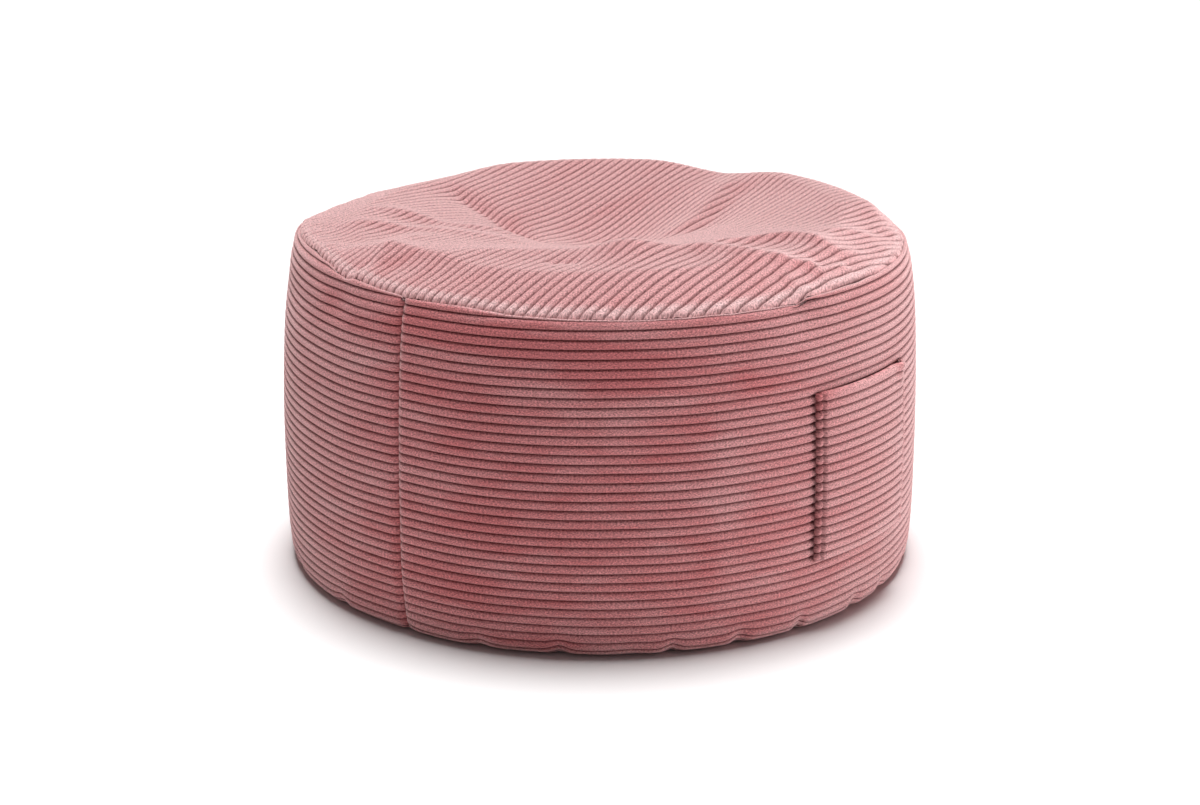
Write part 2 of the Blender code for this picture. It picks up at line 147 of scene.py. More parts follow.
# Top panel
TOP_WALE_ANGLE = math.radians(0.5)
TOP_REACH = 0.3345                  # half its width before it is fitted to the rim
TOP_STEPS = 190                     # faces along the longest rib
TOP_CLOSER = 0.86                   # how much closer they lie at the ends, 0 to 1
TOP_TONE = 0.75                     # the whole top panel is drawn this much paler than the band
TOP_SHRINK = 0.985                  # its inner part is drawn in to this share of its plan
FIT_FROM = 0.72                     # outside this share of its reach it is fitted to the rim
TOP_DEPTH = {"middle": 1.2, "more": 1.3, "reach": 0.013}    # grooves, deeper near the rim
SLACK_TURN = math.radians(6.2)      # turn of the panel's own plan, in which its folds lie
DENT = {"x": 0.044, "y": 0.027, "floor": 0.3270, "rise": 0.0510, "reach": 0.140, "power": 1.7}
SHOULDER = {"radius": 0.262, "end": 0.335, "drop": 0.0300, "power": 1.3}
FOLD_END = {"radius": 0.30, "width": 0.03}      # where the folds fade out towards the rim
TOP_FOLDS = [               # ridges (+) and creases (-), each with its own slope on either side
    {"name": "front crest, left", "line": ((-0.272, 0.045), (-0.215, -0.005), (-0.180, -0.065),
     (-0.155, -0.125), (-0.100, -0.165)), "start": 0.004, "end": 0.014, "left": 0.036,
     "right": 0.034},
    {"name": "front crest, right", "line": ((-0.180, -0.075), (-0.135, -0.145), (-0.098, -0.185),
     (-0.092, -0.235), (-0.070, -0.300)), "start": 0.012, "end": 0.013, "left": 0.024,
     "right": 0.034},
    {"name": "right crest", "line": ((-0.110, -0.160), (-0.045, -0.198), (0.000, -0.228),
     (0.000, -0.268), (0.002, -0.315)), "start": 0.008, "end": 0.012, "left": 0.032,
     "right": 0.015},
    {"name": "small right fold", "line": ((-0.090, -0.255), (-0.070, -0.280), (-0.048, -0.300)),
     "start": 0.006, "end": 0.006, "left": 0.016, "right": 0.010},
    {"name": "right lump", "line": ((0.262, 0.010), (0.276, -0.050), (0.264, -0.125),
     (0.228, -0.190), (0.180, -0.245), (0.120, -0.285)), "start": 0.012, "end": 0.015,
     "left": 0.026, "right": 0.045},
    {"name": "far crest", "line": ((0.060, 0.272), (0.150, 0.228), (0.215, 0.165), (0.252, 0.090),
     (0.276, -0.010)), "start": 0.008, "end": 0.012, "left": 0.026, "right": 0.045},
    {"name": "far fold", "line": ((0.276, -0.022), (0.180, -0.040), (0.105, -0.050),
     (0.045, -0.030)), "start": 0.004, "end": 0.008, "left": 0.016, "right": 0.030},
    {"name": "crease under the far fold", "line": ((0.262, -0.046), (0.170, -0.062),
     (0.095, -0.070), (0.050, -0.052)), "start": -0.004, "end": -0.008, "left": 0.040,
     "right": 0.016},
    {"name": "far left crease", "line": ((0.060, 0.255), (0.032, 0.205), (0.010, 0.145),
     (-0.020, 0.085), (-0.055, 0.035)), "start": -0.012, "end": -0.013, "left": 0.016,
     "right": 0.030},
    {"name": "left fold", "line": ((-0.112, 0.256), (-0.094, 0.186), (-0.092, 0.110),
     (-0.058, 0.030)), "start": 0.006, "end": 0.008, "left": 0.026, "right": 0.016},
    {"name": "left fold, near", "line": ((-0.200, 0.232), (-0.163, 0.197), (-0.140, 0.150),
     (-0.130, 0.090), (-0.112, 0.000)), "start": 0.006, "end": 0.006, "left": 0.026,
     "right": 0.020},
    {"name": "left shoulder fold", "line": ((-0.285, 0.158), (-0.240, 0.124), (-0.192, 0.116),
     (-0.145, 0.130)), "start": 0.005, "end": 0.005, "left": 0.024, "right": 0.024},
    {"name": "left slack", "line": ((-0.270, 0.090), (-0.180, 0.150), (-0.090, 0.150),
     (-0.040, 0.120)), "start": -0.010, "end": -0.008, "left": 0.050, "right": 0.050},
]
FINE_FOLDS = [              # small soft puckers of the ribbed cloth alone
    {"name": "right kink", "line": ((-0.050, -0.262), (-0.020, -0.280), (0.012, -0.296),
     (0.040, -0.306)), "start": 0.002, "end": 0.003, "left": 0.014, "right": 0.009},
    {"name": "rim kink", "line": ((-0.075, -0.300), (-0.040, -0.306), (-0.015, -0.318)),
     "start": 0.003, "end": 0.004, "left": 0.010, "right": 0.008},
    {"name": "far right kink", "line": ((0.040, -0.240), (0.075, -0.262), (0.105, -0.290)),
     "start": 0.002, "end": 0.003, "left": 0.016, "right": 0.010},
    {"name": "puffed edge, left front", "line": ((-0.268, 0.150), (-0.258, 0.110),
     (-0.252, 0.075), (-0.255, 0.030), (-0.262, -0.020)), "start": 0.005, "end": 0.006,
     "left": 0.034, "right": 0.018},
    {"name": "rim fold, left front", "line": ((-0.300, 0.082), (-0.262, 0.094),
     (-0.205, 0.112)), "start": 0.005, "end": 0.004, "left": 0.012, "right": 0.020},
    {"name": "front dimple", "line": ((-0.222, -0.070), (-0.208, -0.090), (-0.200, -0.112)),
     "start": -0.003, "end": -0.003, "left": 0.010, "right": 0.010},
]
CAP_BELOW = 7.0 * MM                # filling under the top panel
CAP_RINGS = [0.0, 0.05, 0.11, 0.18, 0.26, 0.36, 0.47, 0.58, 0.69, 0.80, 0.90, 0.97]
PANEL_DIVE = 4.0 * MM               # how far the panel's edge turns down into the seam
DIVE_REACH = 3.2 * MM               # over this width
EDGE_RISE = 0.0040                  # beside that, the panel stands this far above the seam
EDGE_BLEND = 0.03                   # width of the edge that is brought to the seam's height
PUCKER = {"height": 0.0011, "cycles": 42, "reach": 0.018}   # small puckers along the rim
LID_LAP = 0.0008                    # the filling's lid reaches this far under the lip

# Pocket
POCKET_HALF_ANGLE = math.radians(13.3)
POCKET_GAP = 0.0007                 # between the band's crests and the sewn edges
MOUTH_BOW = 0.0026                  # how much further the pocket stands off at its mouth
POUCH_BOW = 0.0034                  # and low down in its pouch
BOW_START = 0.016                   # height over which it parts from the band
MOUTH_CORNER = {"side": 0.80, "width": 0.07, "out": 0.0060}    # small hole at the far corner
EDGE_ROLL = 8.2 * MM                # width of the turned-in edge, a row of round rib ends
EDGE_BEAD = 4.8 * MM                # how far those rib ends stand out
EDGE_ROUND = 0.57                   # power that rounds them off towards the gaps
EDGE_NOTCH = 2.0 * MM               # so far do the gaps between the rib ends reach in
EDGE_TONE = 0.1                     # less pale than the face
FACE_TONE = 0.5
EDGE_CLOTH = 0.4 * MM               # cloth in the gaps between the rib ends
FACE_CLOTH = 1.6 * MM               # cloth under the ribs of the face
STITCH_SINK = 1.3 * MM              # how deep the stitches beside the edge sink in
EDGE_PINCH = 2.4 * MM               # how deep the pocket's seams draw the band in

# Cloth
RIB_STEPS = 6                       # faces across one rib
FIBRE = 1.4 * MM                    # pile tufts, drawn coarser than the real 0.3 mm
STREAK = (0.055, 0.0095)            # brushed streaks: length along a rib, and one rib's width
PATCH = (0.12, 0.05)                # wider brushed patches
WEAVE = 0.0012                      # the base's weave repeats after 2 pi times this, 7.5 mm
TOP_CUT, POCKET_CUT = 3.0, 5.0      # keep the pattern of one cut of cloth apart from another

# Studio light: one wide lamp overhead and a little behind, and a low soft one at each side.
# The places of the side lamps are sideways, before and above the middle of the floor.
OVERHEAD = {"strength": 4.2, "size": math.radians(27), "right": 0.02, "before": -0.16}
SIDE_LIGHTS = {"right_soft_light": {"place": (2.2, 0.4, 0.32), "power": 27},
               "left_soft_light": {"place": (-2.2, 0.4, 0.32), "power": 4}}
SIDE_LIGHT_SIZE = (1.6, 0.5)
SKY_STRENGTH = 0.10
FLOOR_HALF = 14.0


# ---------------------------------------------------------------- settings

class PoufCloth(bpy.types.PropertyGroup):
    """Sizes and colours of the corduroy."""

    pitch: bpy.props.FloatProperty(
        name="Rib spacing", description="Crest to crest across the ribs",
        default=0.0095, min=0.004, max=0.02, unit="LENGTH", precision=4)
    depth: bpy.props.FloatProperty(
        name="Rib depth", description="Groove below crest",
        default=0.0036, min=0.0005, max=0.006, unit="LENGTH", precision=4)
    pile: bpy.props.FloatVectorProperty(
        name="Pile colour", description="Colour of the pile seen straight on",
        default=(0.0, 0.0, 0.0), min=0, max=1, subtype="COLOR")
    # Besides the brushed streaks, this pale colour carries painted light in patches and along the
    # rim
    brushed_and_painted_light: bpy.props.FloatVectorProperty(
        name="Brushed colour", description="Colour where the pile is brushed towards the light",
        default=(0.0, 0.0, 0.0), min=0, max=1, subtype="COLOR")
    # Painted sheen: this pale colour is mixed into the base colour where the pile is seen at a slant
    painted_sheen: bpy.props.FloatVectorProperty(
        name="Dusty colour", description="Colour of the pile seen at a slant",
        default=(0.0, 0.0, 0.0), min=0, max=1, subtype="COLOR")
    # Painted shade: the dark colour down in the grooves, where little light reaches
    groove: bpy.props.FloatVectorProperty(
        name="Groove colour", description="Colour down between the ribs",
        default=(0.0, 0.0, 0.0), min=0, max=1, subtype="COLOR")


class PoufStage(bpy.types.PropertyGroup):
    """Floor, lights and camera."""

    distance: bpy.props.FloatProperty(
        name="Camera distance", description="Level distance from the middle of the pouf",
        default=2.4, min=0.5, max=10, unit="LENGTH")
    height: bpy.props.FloatProperty(
        name="Camera height", description="Height of the camera above the floor",
        default=0.936, min=0.1, max=5, unit="LENGTH")
    turn: bpy.props.FloatProperty(
        name="Camera turn", description="Turn of the camera round the pouf from the pocket",
        default=math.radians(-51.2), subtype="ANGLE")
    tilt: bpy.props.FloatProperty(
        name="Camera tilt", description="How far the camera looks down",
        default=math.radians(17.96), subtype="ANGLE")
    lens: bpy.props.FloatProperty(
        name="Lens", description="Focal length for a 36 mm wide sensor",
        default=67.35, min=10, max=300)
    floor: bpy.props.FloatVectorProperty(
        name="Floor colour", description="Colour of the pale floor",
        default=(0.88, 0.88, 0.88), min=0, max=1, subtype="COLOR")


def linear(code):
    """A hex sRGB colour as linear red, green and blue."""
    parts = [int(code[i:i + 2], 16) / 255 for i in (1, 3, 5)]
    return tuple(p / 12.92 if p <= 0.04045 else ((p + 0.055) / 1.055) ** 2.4 for p in parts)


# ---------------------------------------------------------------- shape of the drum

def smooth_line(points, steps=6):
    """Catmull-Rom curve through a few points."""
    points = np.array(points)
    padded = np.vstack([2 * points[0] - points[1], points, 2 * points[-1] - points[-2]])
    t = np.linspace(0, 1, steps, endpoint=False)[:, None]
    curve = []
    for i in range(1, len(padded) - 2):
        before, start, end, after = padded[i - 1:i + 3]
        curve.append(0.5 * (2 * start + (end - before) * t
                            + (2 * before - 5 * start + 4 * end - after) * t ** 2
                            + (3 * start - before - 3 * end + after) * t ** 3))
    return np.vstack(curve + [points[-1:]])


def smooth_profile():
    """Fine curve through BAND_PROFILE from the top down, and its length from the rim."""
    curve = smooth_line([[row["radius"], row["height"]] for row in reversed(BAND_PROFILE)], 40)
    steps_down = np.linalg.norm(np.diff(curve, axis=0), axis=1)
    lengths = np.concatenate([[0], np.cumsum(steps_down)])
    at_rim = np.interp(-RIM_HEIGHT, -curve[:, 1], lengths)
    return curve, lengths - at_rim


PROFILE, PROFILE_RUN = smooth_profile()
BAND_LENGTH = float(PROFILE_RUN[-1])


def profile_at(run):
    """Radius and height of the crests at a length down from the rim."""
    return np.interp(run, PROFILE_RUN, PROFILE[:, 0]), np.interp(run, PROFILE_RUN, PROFILE[:, 1])


def profile_radius(height):
    """Radius of the crests at a height."""
    return np.interp(height, PROFILE[::-1, 1], PROFILE[::-1, 0])


def round_points(angle, radius, height):
    """Points at an angle round the drum, from the middle of the pocket."""
    return np.stack([radius * np.sin(angle), -radius * np.cos(angle), height], -1)


def turn_between(first, second):
    """Signed smallest turn from one angle to another."""
    return (second - first + math.pi) % (2 * math.pi) - math.pi


def bell(distance, width):
    """1 at no distance, fading away over about the width."""
    return np.exp(-0.5 * (distance / width) ** 2)


def ease(share):
    """Smooth step from 0 to 1."""
    share = np.clip(share, 0, 1)
    return share * share * (3 - 2 * share)


def ring_waves(angle, cycles, seed, count=5):
    """Smooth even unrest round the drum, about -1 to 1, from a few sine waves."""
    draw = np.random.default_rng(seed)
    total = 0.0
    for _ in range(count):
        own = draw.integers(int(cycles * 0.55), int(cycles * 1.6) + 1)
        total = total + np.sin(own * angle + draw.uniform(0, 2 * math.pi))
    return total / math.sqrt(count)


def rim_cut(angle):
    """Where the rim seam cuts the band, as a run from the first groove."""
    degrees = np.degrees(turn_between(0, angle))
    return MM * (np.interp(degrees, [row["angle"] for row in RIM_CUT],
                           [row["run"] for row in RIM_CUT])
                 + RIM_WAVE * ring_waves(angle, 34, seed=3))


def soft_patches(patches, amount, angle, height):
    """Total amount of some soft patches of the band, at an angle and a height."""
    total = 0.0
    for patch in patches:
        around = turn_between(math.radians(patch["angle"]), angle) * DRUM_RADIUS
        total = total + patch[amount] * bell(around, patch["width"]) * bell(
            height - patch["height"], patch["tall"])
    return total


def band_bulge(angle, height):
    """How far the soft folds push the band out."""
    waves = UNREST * ring_waves(angle, 9, seed=5) * ease((height - 0.05) / 0.1)
    return soft_patches(BAND_FOLDS, "out", angle, height) + waves


def hem_tuck(angle, run):
    """Lift and hollow of the lowest ribs where the hem is gathered."""
    low = ease((run - (BAND_LENGTH - HEM_TALL)) / 0.05)
    lift, hollow = 0.0, 0.0
    for tuck in HEM_TUCKS:
        around = turn_between(math.radians(tuck["angle"]), angle) * DRUM_RADIUS
        shape = bell(around, tuck["width"])
        lift = lift + tuck["lift"] * shape
        hollow = hollow + 0.8 * tuck["lift"] * bell(around, tuck["width"] * 0.6)
    return low * lift, low * hollow


def seam_distance(angle):
    """Distance along the cloth from the nearer upright seam."""
    first = np.abs(turn_between(BAND_SEAM, angle))
    return np.minimum(first, math.pi - first) * DRUM_RADIUS


def pocket_pinch(angle, height):
    """How near the pocket's upright seams are, 1 on the seam and 0 away from it."""
    beside = (np.abs(turn_between(0, angle)) - POCKET_HALF_ANGLE) * DRUM_RADIUS
    inside = ease((height - POCKET_LOW[2] + 0.004) / 0.006) * ease(
        (POCKET_HIGH[2] + 0.002 - height) / 0.006)
    return bell(beside - 0.5 * MM, 2.2 * MM) * inside


def seam_end(distance, half):
    """Rounds the end of a rib off beside a seam."""
    left = 1 - np.clip(distance / half, 0, 1)
    return np.sqrt(1 - left ** 2)


def rib_places(first, last):
    """Places across the ribs, in pitches, closer at the grooves, and how high each stands."""
    steps = np.arange(first * RIB_STEPS, last * RIB_STEPS + 1)
    share = steps % RIB_STEPS / RIB_STEPS
    across = -np.cos(math.pi * share)
    return steps // RIB_STEPS + (1 + across) / 2, np.sqrt(1 - np.abs(across) ** 3.5)


def band_surface(angle, run, stand, depth):
    """Points of the band. stand is 0 in a groove and 1 on a crest; depth is between them."""
    lift, hollow = hem_tuck(angle, run)
    wander = UNREST * ring_waves(angle, 11, seed=7) * ease(run / 0.05)
    placed = run - lift * ease((BAND_LENGTH - run) / 0.02) + wander
    cut = rim_cut(angle)
    roll = np.clip((cut + LIP_LENGTH - placed) / LIP_LENGTH, 0, LIP_END)
    radius, height = profile_at(np.maximum(placed, cut + LIP_LENGTH))
    lip = LIP_LENGTH / LIP_TURN
    bend = roll * LIP_TURN
    radius = radius - lip * (1 - np.cos(bend)) - LIP_LEAN * lip * np.sin(bend)
    height = height + lip * np.sin(bend) - LIP_LEAN * lip * (1 - np.cos(bend))
    seam = seam_distance(angle)
    sink = SEAM_SINK * bell(seam, SEAM_HALF * 0.75) * (1 - 0.5 * roll)
    low = (1 - stand * seam_end(seam, SEAM_HALF)) * depth
    pinch = pocket_pinch(angle, height)
    sink = sink + pinch * EDGE_PINCH * (1.15 - stand)
    inward = low + sink + hollow - band_bulge(angle, height)
    radius = radius - inward * np.cos(np.minimum(bend, math.pi))
    height = height - inward * np.sin(np.minimum(bend, math.pi))
    return radius, np.maximum(height, FOOT_GAP)


# ---------------------------------------------------------------- shape of the top

def fold_height(x, y, fold):
    """Height of one fold: pinched at its line, with its own slope on either side."""
    line = smooth_line(fold["line"])
    lengths = np.linalg.norm(np.diff(line, axis=0), axis=1)
    nearest, left_side, along = np.full(x.shape, 9.0), np.zeros(x.shape), np.zeros(x.shape)
    for start, end, length, before in zip(line, line[1:], lengths, np.cumsum(lengths) - lengths):
        run_x, run_y = (end - start) / length
        share = np.clip((x - start[0]) * run_x + (y - start[1]) * run_y, 0, length)
        distance = np.hypot(x - start[0] - share * run_x, y - start[1] - share * run_y)
        side = run_x * (y - start[1]) - run_y * (x - start[0])
        closer = distance < nearest
        nearest = np.where(closer, distance, nearest)
        left_side = np.where(closer, side, left_side)
        along = np.where(closer, (before + share) / lengths.sum(), along)
    width = np.where(left_side > 0, fold["left"], fold["right"])
    slope = np.exp(-1.2 * (np.sqrt((nearest / width) ** 2 + 0.08) - 0.283))
    rise = fold["start"] + (fold["end"] - fold["start"]) * along
    return rise * ease(3.5 * along) * ease(3.5 * (1 - along)) * slope


def panel_edge(angle):
    """Radius and height of the rim seam, where the top panel ends."""
    cut = rim_cut(angle)
    radius, height = profile_at(cut + LIP_LENGTH)
    lip = LIP_LENGTH / LIP_TURN
    return radius - lip * (1 - math.cos(LIP_TURN)) + 0.0006, height + lip * math.sin(LIP_TURN)


def top_height(x, y):
    """Crests of the top panel: dent, shoulder and folds."""
    cos, sin = math.cos(SLACK_TURN), math.sin(SLACK_TURN)
    x, y = x * cos + y * sin, y * cos - x * sin
    radius = np.hypot(x, y)
    away = np.hypot(x - DENT["x"], y - DENT["y"]) / DENT["reach"]
    height = DENT["floor"] + DENT["rise"] * (1 - np.exp(-away ** DENT["power"]))
    share = np.clip((radius - SHOULDER["radius"]) / (SHOULDER["end"] - SHOULDER["radius"]), 0, 1.05)
    height = height - SHOULDER["drop"] * share ** SHOULDER["power"]
    fade = 1 - np.clip((radius - FOLD_END["radius"]) / FOLD_END["width"], 0, 1) ** 2
    for fold in TOP_FOLDS + FINE_FOLDS:
        height = height + fade * fold_height(x, y, fold)
    return height


def panel_height(x, y, dives=True):
    """The same, brought to the rim seam at its edge, with small puckers there."""
    radius = np.hypot(x, y)
    angle = np.arctan2(x, -y)
    edge_radius, edge_height = panel_edge(angle)
    near = edge_radius - radius
    wanted = edge_height + EDGE_RISE
    rim_x, rim_y = edge_radius * np.sin(angle), -edge_radius * np.cos(angle)
    lift = (wanted - top_height(rim_x, rim_y)) * np.exp(-(np.maximum(near, 0) / EDGE_BLEND) ** 2)
    waves = PUCKER["height"] * ring_waves(angle, PUCKER["cycles"], seed=11)
    pucker = waves * np.exp(-np.maximum(near, 0) / PUCKER["reach"])
    dive = PANEL_DIVE * (1 - np.clip(near / DIVE_REACH, 0, 1)) ** 2
    return top_height(x, y) + lift + pucker - dive * dives


# ---------------------------------------------------------------- mesh helpers

def grid_faces(rows, columns, closed=False, start=0, turned=False):
    """Quads of a grid of vertices stored row by row."""
    row = np.arange(rows - 1)[:, None] * columns
    column = np.arange(columns if closed else columns - 1)[None, :]
    after = (column + 1) % columns
    quads = np.stack([row + column, row + after, row + columns + after, row + columns + column],
                     axis=-1).reshape(-1, 4) + start
    return quads[:, ::-1] if turned else quads


def drum_faces(rings, columns):
    """Faces of a drum stored ring by ring, with a flat lid at either end."""
    faces = list(grid_faces(rings, columns, closed=True, turned=True))
    return faces + [np.arange(columns), np.arange(columns)[::-1] + (rings - 1) * columns]


def lay_of(smooth):
    """Outward normals of a grid of points on the cloth, without its ribs."""
    down, along = np.gradient(smooth, axis=0), np.gradient(smooth, axis=1)
    lay = np.cross(along, down)
    lay /= np.maximum(np.linalg.norm(lay, axis=-1, keepdims=True), 1e-9)
    outward = smooth - np.array([0, 0, 0.1])
    side = np.sign(np.sum(lay * outward, axis=-1, keepdims=True))
    return lay * side


def make_mesh(name, points, faces, cloth=None, stand=None, tone=None, lay=None, material=None):
    """A smooth mesh object with cloth places, lay, rib heights and tone (with painted light and
    shade) as attributes.
    """
    data = bpy.data.meshes.new(name)
    data.from_pydata(points.tolist(), [], [list(face) for face in faces])
    for label, values in (("cloth", cloth), ("lay", lay)):
        if values is not None:
            data.attributes.new(label, "FLOAT_VECTOR", "POINT").data.foreach_set(
                "vector", np.asarray(values, np.float32).ravel())
    for label, values in (("stand", stand), ("tone", tone)):
        if values is not None:
            data.attributes.new(label, "FLOAT", "POINT").data.foreach_set(
                "value", np.asarray(values, np.float32).ravel())
    data.shade_smooth()
    thing = bpy.data.objects.new(name, data)
    bpy.context.scene.collection.objects.link(thing)
    if material:
        data.materials.append(material)
    return thing


# ---------------------------------------------------------------- materials

def add_node(tree, kind, settings=None, links=None):
    """A node of a kind, with its own settings, socket values and incoming links."""
    node = tree.nodes.new(kind)
    for name, value in (settings or {}).items():
        if name in node.inputs.keys() or isinstance(name, int):
            node.inputs[name].default_value = value
        else:
            setattr(node, name, value)
    for name, source in (links or {}).items():
        tree.links.new(source, node.inputs[name])
    return node


def new_material(name):
    """A material with its node tree and its shader."""
    material = bpy.data.materials.new(name)
    material.use_nodes = True
    tree = material.node_tree
    return material, tree, tree.nodes["Principled BSDF"]


def corduroy(cloth, name, sheen_share):
    """Wide-wale cotton corduroy, cut pile. The last argument is how much painted sheen shows.

    The cut tufts stand on end, so the ribs look darker and richer straight on; their paleness
    at a slant is painted sheen, mixed into the base colour by the slant of the cloth. Brushing
    leaves light and dark streaks along the ribs, and the tone attribute adds painted light and
    shade in patches and painted highlights by the rim. Almost no light comes back out of the
    grooves, so they get painted shade, a dark colour.
    """
    material, tree, shader = new_material(name)
    place = add_node(tree, "ShaderNodeAttribute", {"attribute_name": "cloth"}).outputs["Vector"]
    stand = add_node(tree, "ShaderNodeAttribute", {"attribute_name": "stand"}).outputs["Fac"]

    streak_place = add_node(tree, "ShaderNodeMapping", {"Scale": (1 / STREAK[0], 1 / STREAK[1], 1)},
                            {"Vector": place})
    streaks = add_node(tree, "ShaderNodeTexNoise",
                       {"Scale": 1.0, "Detail": 3.0, "Roughness": 0.55},
                       {"Vector": streak_place.outputs["Vector"]})
    patch_place = add_node(tree, "ShaderNodeMapping", {"Scale": (1 / PATCH[0], 1 / PATCH[1], 1)},
                           {"Vector": place})
    patches = add_node(tree, "ShaderNodeTexNoise",
                       {"Scale": 1.0, "Detail": 2.0, "Roughness": 0.5},
                       {"Vector": patch_place.outputs["Vector"]})
    tuft_place = add_node(tree, "ShaderNodeMapping",
                          {"Scale": (1 / (1.6 * FIBRE), 1 / FIBRE, 1)}, {"Vector": place})
    tufts = add_node(tree, "ShaderNodeTexNoise",
                     {"Scale": 1.0, "Detail": 3.0, "Roughness": 0.65},
                     {"Vector": tuft_place.outputs["Vector"]})

    # The tone holds the patches of painted light and shade and the painted highlights, besides each
    # piece's own tone
    tone = add_node(tree, "ShaderNodeAttribute", {"attribute_name": "tone"}).outputs["Fac"]
    mixed = add_node(tree, "ShaderNodeMath", {"operation": "MULTIPLY_ADD", 1: 0.6},
                     {0: streaks.outputs["Fac"], 2: patches.outputs["Fac"]})
    placed = add_node(tree, "ShaderNodeMath", {"operation": "MULTIPLY_ADD", 1: 0.40},
                      {0: tone, 2: mixed.outputs[0]})
    brushed_and_painted_light = add_node(tree, "ShaderNodeMapRange",
                       {"From Min": 0.60, "From Max": 1.10, "To Min": 0.0, "To Max": 1.0},
                       {"Value": placed.outputs[0]})
    pile = add_node(tree, "ShaderNodeMix",
                    {"data_type": "RGBA", 6: (*cloth.pile, 1), 7: (*cloth.brushed_and_painted_light, 1)},
                    {0: brushed_and_painted_light.outputs["Result"]})
    # Painted sheen: the slant of the cloth's lay mixes the colour towards the pale sheen colour
    lay = add_node(tree, "ShaderNodeAttribute", {"attribute_name": "lay"}).outputs["Vector"]
    facing = add_node(tree, "ShaderNodeVectorTransform",
                      {"vector_type": "NORMAL", "convert_from": "OBJECT", "convert_to": "WORLD"},
                      {"Vector": lay})
    slant = add_node(tree, "ShaderNodeLayerWeight", {"Blend": 0.5},
                     {"Normal": facing.outputs["Vector"]})
    slanted = add_node(tree, "ShaderNodeMapRange",
                       {"From Min": 0.25, "From Max": 0.85, "To Min": 0.0, "To Max": sheen_share},
                       {"Value": slant.outputs["Facing"]})
    # Painted highlight: a high tone, along the rolled lip and the top's rib ends, mixes in the pale
    # sheen colour
    edge_highlight = add_node(tree, "ShaderNodeMapRange",
                    {"From Min": 0.7, "From Max": 1.6, "To Min": 0.0, "To Max": 0.8},
                    {"Value": tone})
    pale = add_node(tree, "ShaderNodeMath", {"operation": "MAXIMUM"},
                    {0: slanted.outputs["Result"], 1: edge_highlight.outputs["Result"]})
    seen = add_node(tree, "ShaderNodeMix", {"data_type": "RGBA", 7: (*cloth.painted_sheen, 1)},
                    {0: pale.outputs[0], 6: pile.outputs[2]})
    speck = add_node(tree, "ShaderNodeMapRange",
                     {"From Min": 0.33, "From Max": 0.67, "To Min": 0.45, "To Max": 1.50},
                     {"Value": tufts.outputs["Fac"]})
    speckled = add_node(tree, "ShaderNodeVectorMath", {"operation": "SCALE"},
                        {0: seen.outputs[2], "Scale": speck.outputs["Result"]})
    # Painted shade in the grooves: the colour goes dark where the rib's stand falls
    depth = add_node(tree, "ShaderNodeMapRange",
                     {"From Min": 0.0, "From Max": 0.95, "To Min": 1.0, "To Max": 0.0},
                     {"Value": stand})
    colour = add_node(tree, "ShaderNodeMix",
                      {"data_type": "RGBA", 7: (*cloth.groove, 1)},
                      {0: depth.outputs["Result"], 6: speckled.outputs["Vector"]})
    bump = add_node(tree, "ShaderNodeBump", {"Strength": 0.8, "Distance": 0.0012},
                    {"Height": tufts.outputs["Fac"]})
    tree.links.new(colour.outputs[2], shader.inputs["Base Color"])
    tree.links.new(bump.outputs["Normal"], shader.inputs["Normal"])
    shader.inputs["Roughness"].default_value = 0.95
    shader.inputs["Specular IOR Level"].default_value = 0.15
    sheen = add_node(tree, "ShaderNodeMapRange",
                     {"From Min": 0.4, "From Max": 1.0, "To Min": 0.0, "To Max": 0.5},
                     {"Value": stand})
    tree.links.new(sheen.outputs["Result"], shader.inputs["Sheen Weight"])
    shader.inputs["Sheen Roughness"].default_value = 0.45
    shader.inputs["Sheen Tint"].default_value = (*linear("#f7d9d8"), 1)
    return material


def base_cloth():
    """Plain-woven polyester lining cloth, flat and matt, with a square weave."""
    material, tree, shader = new_material("plain woven polyester")
    place = add_node(tree, "ShaderNodeTexCoord").outputs["Object"]
    warp = add_node(tree, "ShaderNodeTexWave",
                    {"bands_direction": "X", "Scale": 1 / (20 * WEAVE)}, {"Vector": place})
    weft = add_node(tree, "ShaderNodeTexWave",
                    {"bands_direction": "Y", "Scale": 1 / (20 * WEAVE)}, {"Vector": place})
    weave = add_node(tree, "ShaderNodeMath", {"operation": "MULTIPLY"},
                     {0: warp.outputs["Fac"], 1: weft.outputs["Fac"]})
    colour = add_node(tree, "ShaderNodeMix",
                      {"data_type": "RGBA", 6: (*linear("#8d5a5b"), 1), 7: (*linear("#ab7474"), 1)},
                      {0: weave.outputs[0]})
    bump = add_node(tree, "ShaderNodeBump", {"Strength": 0.4, "Distance": 0.0004},
                    {"Height": weave.outputs[0]})
    tree.links.new(colour.outputs[2], shader.inputs["Base Color"])
    tree.links.new(bump.outputs["Normal"], shader.inputs["Normal"])
    shader.inputs["Roughness"].default_value = 0.85
    return material


def floor_paint(colour):
    """Matt white studio floor, so even that its edge does not show."""
    material, tree, shader = new_material("matt white studio floor")
    place = add_node(tree, "ShaderNodeTexCoord").outputs["Object"]
    grain = add_node(tree, "ShaderNodeTexNoise", {"Scale": 40.0, "Detail": 2.0}, {"Vector": place})
    tone = add_node(tree, "ShaderNodeMapRange",
                    {"From Min": 0.0, "From Max": 1.0, "To Min": 0.99, "To Max": 1.0},
                    {"Value": grain.outputs["Fac"]})
    shade = add_node(tree, "ShaderNodeVectorMath", {"operation": "SCALE", 0: tuple(colour)},
                     {"Scale": tone.outputs["Result"]})
    tree.links.new(shade.outputs["Vector"], shader.inputs["Base Color"])
    shader.inputs["Roughness"].default_value = 0.9
    shader.inputs["Specular IOR Level"].default_value = 0.0
    return material


